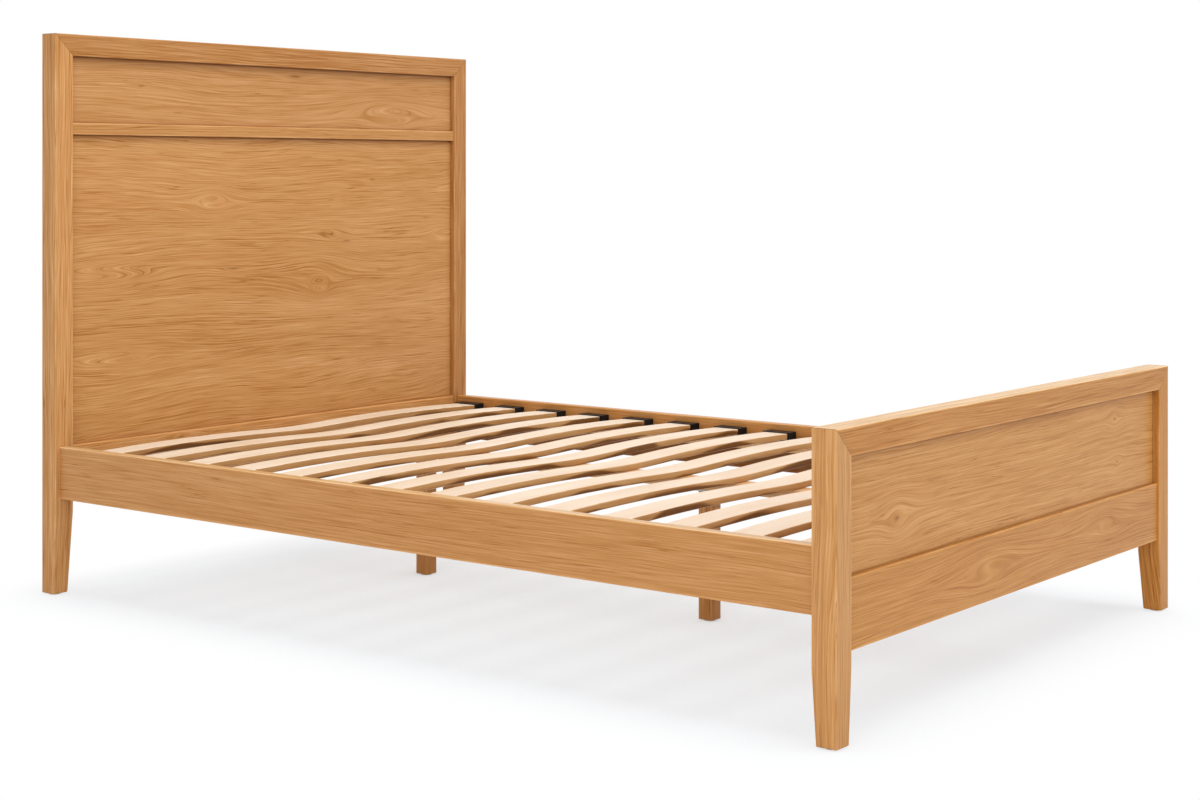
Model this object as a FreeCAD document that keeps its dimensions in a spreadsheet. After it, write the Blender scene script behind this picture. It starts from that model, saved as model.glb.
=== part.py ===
import FreeCAD, Part
import Sketcher
import math
import os

# Panel bed: a headboard and a footboard of mitred posts and top rails with plain panels, joined by
# two side rails that hook into the posts, and a deck of bent slats on ledgers and a centre rail.
# Millimetres. X runs across the bed, Y from the foot (-Y) to the headboard (+Y) and Z up, with the
# origin on the floor at the middle of the bed.

SIZES = {
    # The whole bed
    "overall_width": 1455,        # over the outer faces of the posts
    "overall_length": 2172,       # from the footboard's outer face to the headboard's back face
    "head_height": 1320,          # floor to the top of the headboard
    "foot_height": 554,           # floor to the top of the footboard
    # Posts and top rails
    "post_side": 51,              # square section of the posts and of both top rails
    "leg_end": 42,                # square section of a post where it meets its glide
    "head_taper_start": 195,      # height where a headboard post begins to taper
    "foot_taper_start": 135,      # height where a footboard post begins to taper
    "arris": 2,                   # rounding along the edges of posts, rails and boards
    "leg_chamfer": 1.2,           # bevel round the bottom of each leg
    # Lower rails and strip of the two end boards
    "rail_bottom": 226,           # underside of the side rails and of the headboard's lower rail
    "rail_height": 122,           # depth of the side rails and of the headboard's lower rail
    "foot_rail_bottom": 163,      # underside of the footboard's lower rail
    "foot_rail_height": 129,      # depth of the footboard's lower rail
    "cross_rail_thick": 34,       # thickness of both lower rails
    "cross_rail_recess": 5,       # lower rail's face behind the front face of its posts
    "strip_bottom": 1083,         # underside of the headboard's strip
    "strip_height": 28,
    "strip_thick": 30,
    "strip_recess": 4,            # strip's face behind the front face of the posts
    # Panels, held in grooves
    "panel_thick": 14,
    "panel_recess": 15,           # panel's face behind the front face of its posts
    "panel_tongue": 8,            # how far a panel reaches into its frame
    "panel_play": 0.1,            # clearance on each face of a panel in its groove
    "panel_gap": 0.5,             # space past the edge of a panel in its groove
    "panel_arris": 0.8,
    # Side rails and ledger battens
    "rail_thick": 25,
    "rail_inset": 12.5,           # side rail's outer face inside the outer face of the posts
    "ledger_width": 25,
    "ledger_height": 30,
    "ledger_top": 310,            # height of the ledger's top, where the slat caps stand
    "ledger_end_gap": 10,         # from a ledger's end to the post
    # Slats
    "slat_count": 14,
    "slat_width": 70,
    "slat_thick": 15,
    "slat_round": 2.5,            # rounding of a slat's long edges
    "slat_bow": 7,                # how far a slat rises between its seats
    "slat_dip_radius": 2600,      # top radius of the dip over the centre rail
    "slat_end_margin": 60,        # from the post to the middle of the first slat
    "slat_play": 0.2,             # clearance between a slat and what it lies on or in
    "slat_end_play": 1,           # from a slat's end to the end wall of its cap
    # Slat caps
    "cap_depth": 35,              # how far a cap stands out from the side rail
    "cap_wall": 3,                # end wall and floor
    "cap_cheek": 5,               # wall on each side of the slat
    "cap_roof": 2.3,
    "cap_corner": 2.5,            # rounding of a cap's upright corners
    "cap_edge": 1,                # rounding round a cap's top
    "peg_radius": 4,
    "peg_length": 12,
    # Centre rail and its two legs
    "centre_rail_width": 50,
    "centre_rail_thick": 22,
    "centre_rail_gap": 1,         # from the centre rail's end to the lower rail
    "centre_leg_side": 36,
    "head_leg_setback": 559,      # middle of one centre leg from the headboard's back face
    "foot_leg_setback": 764,      # middle of the other from the footboard's outer face
    "mount_plate_thick": 3,
    "mount_plate_width": 50,
    "mount_plate_length": 70,
    "mount_screw_across": 16,     # leg plate screws each side of the middle, along X
    "mount_screw_along": 28,      # the same along Y
    "hanger_radius": 4,           # threaded rod that joins a centre leg to the centre rail
    "hanger_in_leg": 40,
    "hanger_in_rail": 18,
    # Brackets at the ends of the centre rail
    "bracket_thick": 3,
    "bracket_width": 40,
    "bracket_shelf": 45,
    "bracket_drop": 45,
    "bracket_screw_across": 12,   # screws each side of the middle of a bracket
    "bracket_screw_down": 27,     # screws in the lower rail, below the centre rail's underside
    "bracket_screw_in": 27,       # screws in the centre rail, from the lower rail's face
    # Hook fittings between side rails and posts
    "plate_thick": 3,
    "plate_width": 16,
    "plate_height": 96,
    "plate_play": 0.1,            # clearance round a plate let into wood
    "plate_screw_edge": 5.5,      # screw centre from the end of a plate
    "hook_thick": 4,              # thickness of a hook across the bed
    "hook_neck": 12,              # height of a hook's neck
    "hook_tip": 4,                # thickness of the part that drops behind the plate
    "hook_drop": 8,               # how far that part drops
    "hook_seat_rise": 16,         # lower hook's seat above the bottom of the plate
    "hook_pitch": 36,             # between the two hooks
    "hook_play": 0.3,             # clearance of a hook in its slot
    "slot_height": 22,
    "hook_pocket_depth": 12,      # depth of the hollow in the post behind the slots
    "hook_pocket_width": 8,
    # Dowels
    "dowel_radius": 4,
    "dowel_length": 40,
    "mitre_dowel_length": 30,
    "mitre_dowel_offset": 12,     # mitre dowels each side of the middle of the post
    "dowel_edge": 30,             # dowels in a lower rail from its top and bottom
    # Screws
    "screw_radius": 1.75,
    "screw_length": 18,
    "screw_head_radius": 3.5,
    "screw_head_height": 1.75,
    "batten_screw_radius": 2.25,
    "batten_screw_length": 40,
    "batten_screw_head_radius": 4.5,
    "batten_screw_head_height": 2.25,
    "hole_play": 0.1,             # clearance of dowels, pegs, pins, rods and screws in their holes
    "hole_end_gap": 0.5,          # space past the end of each of them
    # Glides under the six legs
    "glide_radius": 13,
    "glide_height": 3,
    "glide_pin_radius": 1.5,
    "glide_pin_length": 12,
}

doc = FreeCAD.newDocument("panel_bed")
dims = doc.addObject("Spreadsheet::Sheet", "dims")
for row, (name, size) in enumerate(SIZES.items(), start=1):
    dims.set(f"A{row}", name)
    dims.set(f"B{row}", str(size))
    dims.setAlias(f"B{row}", name)
doc.recompute()

nodes = []

X_AXIS = (1, 0, 0)
Y_AXIS = (0, 1, 0)
Z_AXIS = (0, 0, 1)
INTO_BED_LEFT = (-1, 0, 0)
TOWARDS_FOOT = (0, -1, 0)
SLOPE = math.sqrt(0.5)
MITRE_NORMAL = (SLOPE, 0, SLOPE)


# Places that several pieces share, as expressions on the sheet. Left is -X.

HALF_WIDTH = "dims.overall_width / 2"
HALF_LENGTH = "dims.overall_length / 2"
POST_IN_X = f"({HALF_WIDTH} - dims.post_side)"
POST_IN_Y = f"({HALF_LENGTH} - dims.post_side)"
RAIL_OUT = f"({HALF_WIDTH} - dims.rail_inset)"
RAIL_IN = f"({RAIL_OUT} - dims.rail_thick)"
RAIL_MID = f"({RAIL_OUT} - dims.rail_thick / 2)"
RAIL_TOP = "(dims.rail_bottom + dims.rail_height)"
FOOT_RAIL_TOP = "(dims.foot_rail_bottom + dims.foot_rail_height)"
STRIP_TOP = "(dims.strip_bottom + dims.strip_height)"
LEDGER_IN = f"({RAIL_IN} - dims.ledger_width)"
LEDGER_MID = f"({RAIL_IN} - dims.ledger_width / 2)"
CAP_FLOOR = "(dims.ledger_top + dims.cap_wall)"
SLAT_SEAT = f"({CAP_FLOOR} + dims.slat_play)"
CENTRE_RAIL_BOTTOM = f"({CAP_FLOOR} - dims.centre_rail_thick)"
CENTRE_LEG_TOP = f"({CENTRE_RAIL_BOTTOM} - dims.mount_plate_thick)"
BACK_FACE = HALF_LENGTH
HEAD_FRONT = POST_IN_Y
FOOT_FRONT = f"(-{HALF_LENGTH})"
HEAD_RAIL_FACE = f"({HEAD_FRONT} + dims.cross_rail_recess)"
HEAD_RAIL_MID = f"({HEAD_RAIL_FACE} + dims.cross_rail_thick / 2)"
FOOT_RAIL_MID = f"({FOOT_FRONT} + dims.cross_rail_recess + dims.cross_rail_thick / 2)"
FOOT_RAIL_INNER_FACE = f"({FOOT_FRONT} + dims.cross_rail_recess + dims.cross_rail_thick)"
SLAT_PITCH = f"(2 * ({POST_IN_Y} - dims.slat_end_margin) / (dims.slat_count - 1))"

POST_X = (f"-{HALF_WIDTH}", f"-{POST_IN_X}")
HEAD_POST_Y = (POST_IN_Y, HALF_LENGTH)
FOOT_POST_Y = (f"-{HALF_LENGTH}", f"-{POST_IN_Y}")
BETWEEN_POSTS = (f"-{POST_IN_X}", POST_IN_X)
HEAD_RAIL_Y = (HEAD_RAIL_FACE, f"{HEAD_RAIL_FACE} + dims.cross_rail_thick")
FOOT_RAIL_Y = (f"{FOOT_FRONT} + dims.cross_rail_recess", FOOT_RAIL_INNER_FACE)
STRIP_Y = (
    f"{HEAD_FRONT} + dims.strip_recess",
    f"{HEAD_FRONT} + dims.strip_recess + dims.strip_thick",
)
HEAD_PANEL_Y = (
    f"{HEAD_FRONT} + dims.panel_recess",
    f"{HEAD_FRONT} + dims.panel_recess + dims.panel_thick",
)
FOOT_PANEL_Y = (
    f"{FOOT_FRONT} + dims.panel_recess",
    f"{FOOT_FRONT} + dims.panel_recess + dims.panel_thick",
)


def value(expression):
    """Number that an expression on the sheet has now."""
    return float(dims.evalExpression(expression))


def grown(span, by):
    """Span made longer at both ends."""
    low, high = span
    return (f"{low} - ({by})", f"{high} + ({by})")


def about(middle, half):
    """Span of two halves about a middle."""
    return (f"{middle} - {half}", f"{middle} + {half}")


def place(item, point, axis=Z_AXIS):
    """Puts an item's own Z along the axis, and its origin at a point given by expressions."""
    turn = FreeCAD.Rotation(FreeCAD.Vector(*Z_AXIS), FreeCAD.Vector(*axis))
    item.Placement = FreeCAD.Placement(FreeCAD.Vector(), turn)
    for letter, expression in zip("xyz", point):
        item.setExpression(f"Placement.Base.{letter}", expression)
    return item


def box(label, x, y, z):
    """Box that fills three spans."""
    item = doc.addObject("Part::Box", label)
    for letter, side, (low, high) in (("x", "Length", x), ("y", "Width", y), ("z", "Height", z)):
        item.setExpression(f"Placement.Base.{letter}", low)
        item.setExpression(side, f"({high}) - ({low})")
    return item


def rod(label, radius, length, start, axis=Z_AXIS):
    """Cylinder from a start point along an axis."""
    item = doc.addObject("Part::Cylinder", label)
    item.setExpression("Radius", radius)
    item.setExpression("Height", length)
    return place(item, start, axis)


def pin(label, radius, length, middle, axis):
    """Cylinder centred on a point."""
    start = [f"{part} - ({step}) * ({length}) / 2" for part, step in zip(middle, axis)]
    return rod(label, radius, length, start, axis)


def group(label, members):
    """Separate solids kept together."""
    item = doc.addObject("Part::Compound", label)
    item.Links = members
    return item


def fuse(label, members):
    item = doc.addObject("Part::MultiFuse", label)
    item.Shapes = members
    item.Refine = True
    return item


def cut(label, base, cutters):
    """Base with every cutter taken away."""
    tool = cutters[0]
    if len(cutters) > 1:
        tool = fuse(f"{label}_cutters", cutters)
    item = doc.addObject("Part::Cut", label)
    item.Base = base
    item.Tool = tool
    return item


def mirrored(label, source, normal):
    """Copy on the other side of the middle plane with this normal."""
    item = doc.addObject("Part::Mirroring", label)
    item.Source = source
    item.Normal = FreeCAD.Vector(*normal)
    return item


def placed(label, source, point, axis=Z_AXIS):
    """Copy of a source made at the origin, moved to a point and turned to an axis."""
    return place(group(label, [source]), point, axis)


def both_sides(label, source):
    """A source on the left and its twin on the right."""
    return group(label, [source, mirrored(f"{label}_twin", source, X_AXIS)])


def four_corners(label, source):
    """A source at the headboard's left corner, repeated at the other three."""
    sides = both_sides(f"{label}_head", source)
    return group(label, [sides, mirrored(f"{label}_foot", sides, Y_AXIS)])


def keep(label, item):
    """Makes an item one of the bed's named pieces."""
    item.Label = label
    nodes.append(item)
    return item


def origin_plane(body, role):
    for feature in body.Origin.OriginFeatures:
        if feature.Role == role:
            return feature
    raise RuntimeError(f"no {role} in {body.Label}")


def new_sketch(body, name, role, offset):
    """Empty sketch on one of the body's own planes, moved along the plane's normal."""
    sketch = body.newObject("Sketcher::SketchObject", name)
    sketch.AttachmentSupport = [(origin_plane(body, role), "")]
    sketch.MapMode = "FlatFace"
    sketch.setExpression("AttachmentOffset.Base.z", offset)
    return sketch


def drive(sketch, name, constraint, expression):
    """Adds a dimension that follows an expression."""
    index = sketch.addConstraint(constraint)
    sketch.renameConstraint(index, name)
    sketch.setExpression(f"Constraints.{name}", expression)


def rounded_rectangle(body, name, role, offset, across, up, radius):
    """Sketch of a rectangle over two spans with rounded corners."""
    sketch = new_sketch(body, name, role, offset)
    left, right = (value(end) for end in across)
    low, high = (value(end) for end in up)
    bend = value(radius)
    sides = (
        ((left + bend, low), (right - bend, low)),
        ((right, low + bend), (right, high - bend)),
        ((right - bend, high), (left + bend, high)),
        ((left, high - bend), (left, low + bend)),
    )
    corners = (
        (right - bend, low + bend),
        (right - bend, high - bend),
        (left + bend, high - bend),
        (left + bend, low + bend),
    )
    for start, end in sides:
        sketch.addGeometry(Part.LineSegment(FreeCAD.Vector(*start, 0), FreeCAD.Vector(*end, 0)))
    for quarter, centre in enumerate(corners):
        circle = Part.Circle(FreeCAD.Vector(*centre, 0), FreeCAD.Vector(*Z_AXIS), bend)
        first = (quarter - 1) * math.pi / 2
        sketch.addGeometry(Part.ArcOfCircle(circle, first, first + math.pi / 2))
    for side in range(4):
        arc = 4 + side
        sketch.addConstraint(Sketcher.Constraint("Tangent", side, 2, arc, 1))
        sketch.addConstraint(Sketcher.Constraint("Tangent", arc, 2, (side + 1) % 4, 1))
        sketch.addConstraint(Sketcher.Constraint("Vertical" if side % 2 else "Horizontal", side))
    for arc in (5, 6, 7):
        sketch.addConstraint(Sketcher.Constraint("Equal", 4, arc))
    drive(sketch, "bend", Sketcher.Constraint("Radius", 4, bend), radius)
    drive(sketch, "low", Sketcher.Constraint("DistanceY", -1, 1, 0, 1, low), up[0])
    drive(sketch, "right", Sketcher.Constraint("DistanceX", -1, 1, 1, 1, right), across[1])
    drive(sketch, "high", Sketcher.Constraint("DistanceY", -1, 1, 2, 1, high), up[1])
    drive(sketch, "left", Sketcher.Constraint("DistanceX", -1, 1, 3, 1, left), across[0])
    return sketch


def pad(body, name, sketch, length):
    feature = body.newObject("PartDesign::Pad", name)
    feature.Profile = sketch
    feature.setExpression("Length", length)
    return feature


def board(label, along, x, y, z, radius="dims.arris"):
    """Straight stick over three spans, with the edges along its length rounded."""
    body = doc.addObject("PartDesign::Body", label)
    if along == "X":
        section = rounded_rectangle(body, f"{label}_section", "YZ_Plane", x[0], y, z, radius)
        low, high = x
    elif along == "Y":
        # This plane faces -Y, so the stick grows from its high end down.
        section = rounded_rectangle(body, f"{label}_section", "XZ_Plane", f"-({y[1]})", x, z, radius)
        low, high = y
    else:
        section = rounded_rectangle(body, f"{label}_section", "XY_Plane", z[0], x, y, radius)
        low, high = z
    pad(body, f"{label}_length", section, f"({high}) - ({low})")
    return body


def edges_where(feature, test):
    """Names of the edges whose every corner passes a test."""
    doc.recompute()
    names = []
    for number, edge in enumerate(feature.Shape.Edges, start=1):
        if all(test(corner.Point) for corner in edge.Vertexes):
            names.append(f"Edge{number}")
    return names


def near(first, second):
    return abs(first - second) < 1e-4


def screw(label, play, head_radius, head_height, radius, length):
    """Countersunk screw pointing along +Z, its head's face at the origin, grown by the play."""
    head = doc.addObject("Part::Cone", f"{label}_head")
    head.setExpression("Radius1", f"{head_radius} + {play}")
    head.setExpression("Radius2", f"{radius} + {play}")
    head.setExpression("Height", head_height)
    shank = rod(f"{label}_shank", f"{radius} + {play}", f"{length} + {play}", ("0", "0", "0"))
    return fuse(label, [head, shank])


SMALL_SCREW = ("dims.screw_head_radius", "dims.screw_head_height", "dims.screw_radius", "dims.screw_length")
BATTEN_SCREW = (
    "dims.batten_screw_head_radius",
    "dims.batten_screw_head_height",
    "dims.batten_screw_radius",
    "dims.batten_screw_length",
)
small_screw = screw("small_screw", "0", *SMALL_SCREW)
small_screw_hole = screw("small_screw_hole", "dims.hole_play", *SMALL_SCREW)
batten_screw = screw("batten_screw", "0", *BATTEN_SCREW)
batten_screw_hole = screw("batten_screw_hole", "dims.hole_play", *BATTEN_SCREW)


# Dowels of the left side, with the hole that each one sits in. Each entry is a middle point.

def dowels(label, length, middles, axis):
    """Dowels at the given middles, and their holes."""
    pegs = []
    holes = []
    for number, middle in enumerate(middles, start=1):
        pegs.append(pin(f"{label}_{number}", "dims.dowel_radius", length, middle, axis))
        hole_radius = "dims.dowel_radius + dims.hole_play"
        hole_length = f"{length} + 2 * dims.hole_end_gap"
        holes.append(pin(f"{label}_hole_{number}", hole_radius, hole_length, middle, axis))
    return pegs, holes


def rail_dowels(label, y, bottom, top):
    """Two dowels between a post and a lower rail."""
    levels = (f"{bottom} + dims.dowel_edge", f"{top} - dims.dowel_edge")
    middles = [(f"-{POST_IN_X}", y, level) for level in levels]
    return dowels(label, "dims.dowel_length", middles, X_AXIS)


def mitre_dowels(label, post_y, height):
    """Two dowels square to the mitre between a post and a top rail."""
    middles = []
    for side in ("-", "+"):
        middle_y = f"({post_y[0]} + {post_y[1]}) / 2 {side} dims.mitre_dowel_offset"
        middle_x = f"-{HALF_WIDTH} + dims.post_side / 2"
        middles.append((middle_x, middle_y, f"{height} - dims.post_side / 2"))
    return dowels(label, "dims.mitre_dowel_length", middles, MITRE_NORMAL)


head_rail_dowels, head_rail_holes = rail_dowels("head_rail_dowel", HEAD_RAIL_MID, "dims.rail_bottom", RAIL_TOP)
foot_rail_dowels, foot_rail_holes = rail_dowels(
    "foot_rail_dowel", FOOT_RAIL_MID, "dims.foot_rail_bottom", FOOT_RAIL_TOP
)
strip_middle = (
    f"-{POST_IN_X}",
    f"{HEAD_FRONT} + dims.strip_recess + dims.strip_thick / 2",
    "dims.strip_bottom + dims.strip_height / 2",
)
strip_dowels, strip_holes = dowels("strip_dowel", "dims.dowel_length", [strip_middle], X_AXIS)
head_mitre_dowels, head_mitre_holes = mitre_dowels("head_mitre_dowel", HEAD_POST_Y, "dims.head_height")
foot_mitre_dowels, foot_mitre_holes = mitre_dowels("foot_mitre_dowel", FOOT_POST_Y, "dims.foot_height")


# Hook fittings at the headboard's left corner. The rail's plate lies flush in the rail's end and the
# receiver flush in the post, face to face; each hook passes a slot and drops behind the receiver.

PLATE_X = about(f"-{RAIL_MID}", "dims.plate_width / 2")
PLATE_BOTTOM = "(dims.rail_bottom + dims.rail_height / 2 - dims.plate_height / 2)"
PLATE_Z = (PLATE_BOTTOM, f"{PLATE_BOTTOM} + dims.plate_height")
RAIL_PLATE_Y = (f"{POST_IN_Y} - dims.plate_thick", POST_IN_Y)
RECEIVER_Y = (POST_IN_Y, f"{POST_IN_Y} + dims.plate_thick")
HOOK_X = about(f"-{RAIL_MID}", "dims.hook_thick / 2")
TIP_START = f"({POST_IN_Y} + dims.plate_thick + dims.hook_play)"
LOW_SEAT = f"({PLATE_BOTTOM} + dims.hook_seat_rise)"
HIGH_SEAT = f"({LOW_SEAT} + dims.hook_pitch)"
HOOK_POCKET_Z = (
    f"{LOW_SEAT} - dims.hook_drop - dims.hook_play",
    f"{HIGH_SEAT} + dims.slot_height + dims.hook_play",
)


def plate_screws(label, axis):
    """Screw places at the two ends of a plate, and the holes for them."""
    levels = (f"{PLATE_Z[0]} + dims.plate_screw_edge", f"{PLATE_Z[1]} - dims.plate_screw_edge")
    screws = []
    holes = []
    for number, level in enumerate(levels, start=1):
        point = (f"-{RAIL_MID}", POST_IN_Y, level)
        screws.append(placed(f"{label}_{number}", small_screw, point, axis))
        holes.append(placed(f"{label}_hole_{number}", small_screw_hole, point, axis))
    return screws, holes


rail_plate_screws, rail_plate_holes = plate_screws("rail_plate_screw", TOWARDS_FOOT)
receiver_screws, receiver_holes = plate_screws("receiver_screw", Y_AXIS)


def hook_plate():
    """Plate of the side rail's end, with its two hooks."""
    members = [box("hook_plate_flat", PLATE_X, RAIL_PLATE_Y, PLATE_Z)]
    for name, seat in (("low", LOW_SEAT), ("high", HIGH_SEAT)):
        neck_top = f"{seat} + dims.hook_neck"
        neck_y = (RAIL_PLATE_Y[0], f"{TIP_START} + dims.hook_tip")
        tip_y = (TIP_START, f"{TIP_START} + dims.hook_tip")
        members.append(box(f"hook_neck_{name}", HOOK_X, neck_y, (seat, neck_top)))
        members.append(box(f"hook_tip_{name}", HOOK_X, tip_y, (f"{seat} - dims.hook_drop", neck_top)))
    return cut("hook_plate", fuse("hook_plate_blank", members), rail_plate_holes)


def receiver_plate():
    """Plate of the post, with a slot for each hook."""
    cutters = list(receiver_holes)
    slot_x = grown(HOOK_X, "dims.hook_play")
    slot_y = grown(RECEIVER_Y, "dims.plate_thick")
    for name, seat in (("low", LOW_SEAT), ("high", HIGH_SEAT)):
        cutters.append(box(f"hook_slot_{name}", slot_x, slot_y, (seat, f"{seat} + dims.slot_height")))
    return cut("receiver_plate", box("receiver_flat", PLATE_X, RECEIVER_Y, PLATE_Z), cutters)


rail_plate_pocket = box(
    "rail_plate_pocket",
    grown(PLATE_X, "dims.plate_play"),
    (RAIL_PLATE_Y[0], f"{POST_IN_Y} + dims.plate_thick"),
    grown(PLATE_Z, "dims.plate_play"),
)
receiver_pocket = box(
    "receiver_pocket",
    grown(PLATE_X, "dims.plate_play"),
    (f"{POST_IN_Y} - dims.plate_thick", RECEIVER_Y[1]),
    grown(PLATE_Z, "dims.plate_play"),
)
hook_pocket = box(
    "hook_pocket",
    about(f"-{RAIL_MID}", "dims.hook_pocket_width / 2"),
    (POST_IN_Y, f"{POST_IN_Y} + dims.hook_pocket_depth"),
    HOOK_POCKET_Z,
)
keep("rail_hook_plates", four_corners("rail_hook_plates", hook_plate()))
keep("post_receiver_plates", four_corners("post_receiver_plates", receiver_plate()))
corner_screws = group("corner_plate_screws", rail_plate_screws + receiver_screws)
keep("plate_screws", four_corners("plate_screws", corner_screws))


# Panels, and the groove that each one leaves in its frame.

PANEL_X = grown(BETWEEN_POSTS, "dims.panel_tongue")


def panel(label, y, low, high):
    """Panel between two levels, with its tongues past them, and its groove."""
    z = grown((low, high), "dims.panel_tongue")
    keep(label, board(label, "X", PANEL_X, y, z, "dims.panel_arris"))
    return box(
        f"{label}_groove",
        grown(PANEL_X, "dims.panel_gap"),
        grown(y, "dims.panel_play"),
        grown(z, "dims.panel_gap"),
    )


head_top_rail_bottom = "dims.head_height - dims.post_side"
foot_top_rail_bottom = "dims.foot_height - dims.post_side"
main_groove = panel("headboard_main_panel", HEAD_PANEL_Y, RAIL_TOP, "dims.strip_bottom")
upper_groove = panel("headboard_upper_panel", HEAD_PANEL_Y, STRIP_TOP, head_top_rail_bottom)
foot_groove = panel("footboard_panel", FOOT_PANEL_Y, FOOT_RAIL_TOP, foot_top_rail_bottom)


# Mitres. Each cutter is a box turned by 45 degrees, with one face on the plane of the left mitre.

MITRE_SPARE = 10


def mitre_cutter(label, post_y, height, side):
    """Cutter that lies above the left mitre's plane, or below it."""
    item = doc.addObject("Part::Box", label)
    reach = "dims.post_side * sqrt(2)"
    item.setExpression("Length", f"{reach} + {2 * MITRE_SPARE} * sqrt(2)")
    item.setExpression("Width", f"({post_y[1]}) - ({post_y[0]}) + {2 * MITRE_SPARE}")
    item.setExpression("Height", reach)
    back = "0" if side == "above" else "dims.post_side"
    turn = FreeCAD.Rotation(FreeCAD.Vector(*Y_AXIS), 45)
    item.Placement = FreeCAD.Placement(FreeCAD.Vector(), turn)
    item.setExpression("Placement.Base.x", f"-{HALF_WIDTH} - {MITRE_SPARE} - {back}")
    item.setExpression("Placement.Base.y", f"{post_y[0]} - {MITRE_SPARE}")
    item.setExpression("Placement.Base.z", f"{height} + {MITRE_SPARE} - {back}")
    return item


# Glides, with the hole for each pin. Corner glides stand under the middle of a tapered leg's end.

def glide(label, x, y):
    """Round foot at a place, and the hole for its pin."""
    foot = rod(f"{label}_foot", "dims.glide_radius", "dims.glide_height", (x, y, "0"))
    pin_length = "dims.glide_height + dims.glide_pin_length"
    stem = rod(f"{label}_pin", "dims.glide_pin_radius", pin_length, (x, y, "0"))
    hole = rod(
        f"{label}_hole",
        "dims.glide_pin_radius + dims.hole_play",
        f"{pin_length} + dims.hole_end_gap",
        (x, y, "0"),
    )
    return fuse(label, [foot, stem]), hole


CORNER_GLIDE_X = f"-{HALF_WIDTH} + dims.leg_end / 2"
CORNER_GLIDE_Y = f"{HALF_LENGTH} - dims.leg_end / 2"
HEAD_LEG_Y = f"({HALF_LENGTH} - dims.head_leg_setback)"
FOOT_LEG_Y = f"(-{HALF_LENGTH} + dims.foot_leg_setback)"
corner_glide, head_glide_hole = glide("corner_glide", CORNER_GLIDE_X, CORNER_GLIDE_Y)
foot_glide_hole = mirrored("foot_glide_hole", head_glide_hole, Y_AXIS)
head_leg_glide, head_leg_hole = glide("head_leg_glide", "0", HEAD_LEG_Y)
foot_leg_glide, foot_leg_hole = glide("foot_leg_glide", "0", FOOT_LEG_Y)
corner_glides = four_corners("corner_glides", corner_glide)
keep("leg_glides", group("leg_glides", [corner_glides, head_leg_glide, foot_leg_glide]))


# Posts. Both outer faces are upright; the two inner faces taper in below the taper's start.

def post_blank(label, post_y, outer_face, taper_start, height):
    """Square post with a tapered, bevelled leg."""
    body = doc.addObject("PartDesign::Body", label)
    shoulder = rounded_rectangle(body, f"{label}_shoulder", "XY_Plane", taper_start, POST_X, post_y, "dims.arris")
    pad(body, f"{label}_shaft", shoulder, f"{height} - {taper_start}")
    end_x = (POST_X[0], f"{POST_X[0]} + dims.leg_end")
    if outer_face == "high":
        end_y = (f"{post_y[1]} - dims.leg_end", post_y[1])
    else:
        end_y = (post_y[0], f"{post_y[0]} + dims.leg_end")
    end = rounded_rectangle(body, f"{label}_end", "XY_Plane", "dims.glide_height", end_x, end_y, "dims.arris")
    doc.recompute()
    taper = body.newObject("PartDesign::AdditiveLoft", f"{label}_taper")
    taper.Profile = shoulder
    taper.Sections = [end]
    taper.Ruled = True
    floor_edges = edges_where(taper, lambda corner: near(corner.z, value("dims.glide_height")))
    bevel = body.newObject("PartDesign::Chamfer", f"{label}_bevel")
    bevel.Base = (taper, floor_edges)
    bevel.setExpression("Size", "dims.leg_chamfer")
    return body


def post(label, blank, cutters):
    """Left post, and its twin on the right."""
    left = keep(f"{label}_left", cut(f"{label}_left", blank, cutters))
    keep(f"{label}_right", mirrored(f"{label}_right", left, X_AXIS))


receiver_cutters = [receiver_pocket, hook_pocket] + receiver_holes
head_cutters = head_rail_holes + strip_holes + head_mitre_holes + receiver_cutters
head_cutters += [main_groove, upper_groove, head_glide_hole]
head_cutters.append(mitre_cutter("head_post_mitre", HEAD_POST_Y, "dims.head_height", "above"))
head_blank = post_blank(
    "headboard_post_blank", HEAD_POST_Y, "high", "dims.head_taper_start", "dims.head_height"
)
post("headboard_post", head_blank, head_cutters)

foot_receiver = fuse("receiver_cutters", receiver_cutters)
foot_cutters = foot_rail_holes + foot_mitre_holes + [foot_groove, foot_glide_hole]
foot_cutters.append(mirrored("foot_receiver_cutters", foot_receiver, Y_AXIS))
foot_cutters.append(mitre_cutter("foot_post_mitre", FOOT_POST_Y, "dims.foot_height", "above"))
foot_blank = post_blank("footboard_post_blank", FOOT_POST_Y, "low", "dims.foot_taper_start", "dims.foot_height")
post("footboard_post", foot_blank, foot_cutters)


# Cross pieces of the two end boards. Cutters made for the left end are mirrored to the right end.

def cross_piece(label, x, y, z, end_cutters, middle_cutters):
    """Board across the bed, worked alike at both ends."""
    blank = board(f"{label}_blank", "X", x, y, z)
    end = fuse(f"{label}_end", end_cutters)
    far_end = mirrored(f"{label}_far_end", end, X_AXIS)
    keep(label, cut(label, blank, [end, far_end] + middle_cutters))


FULL_WIDTH = (f"-{HALF_WIDTH}", HALF_WIDTH)
cross_piece(
    "headboard_top_rail",
    FULL_WIDTH,
    HEAD_POST_Y,
    (head_top_rail_bottom, "dims.head_height"),
    [mitre_cutter("head_rail_mitre", HEAD_POST_Y, "dims.head_height", "below")] + head_mitre_holes,
    [upper_groove],
)
cross_piece(
    "footboard_top_rail",
    FULL_WIDTH,
    FOOT_POST_Y,
    (foot_top_rail_bottom, "dims.foot_height"),
    [mitre_cutter("foot_rail_mitre", FOOT_POST_Y, "dims.foot_height", "below")] + foot_mitre_holes,
    [foot_groove],
)
keep(
    "headboard_strip",
    cut(
        "headboard_strip",
        board("headboard_strip_blank", "X", BETWEEN_POSTS, STRIP_Y, ("dims.strip_bottom", STRIP_TOP)),
        [main_groove, upper_groove, both_sides("strip_end_holes", strip_holes[0])],
    ),
)


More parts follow.
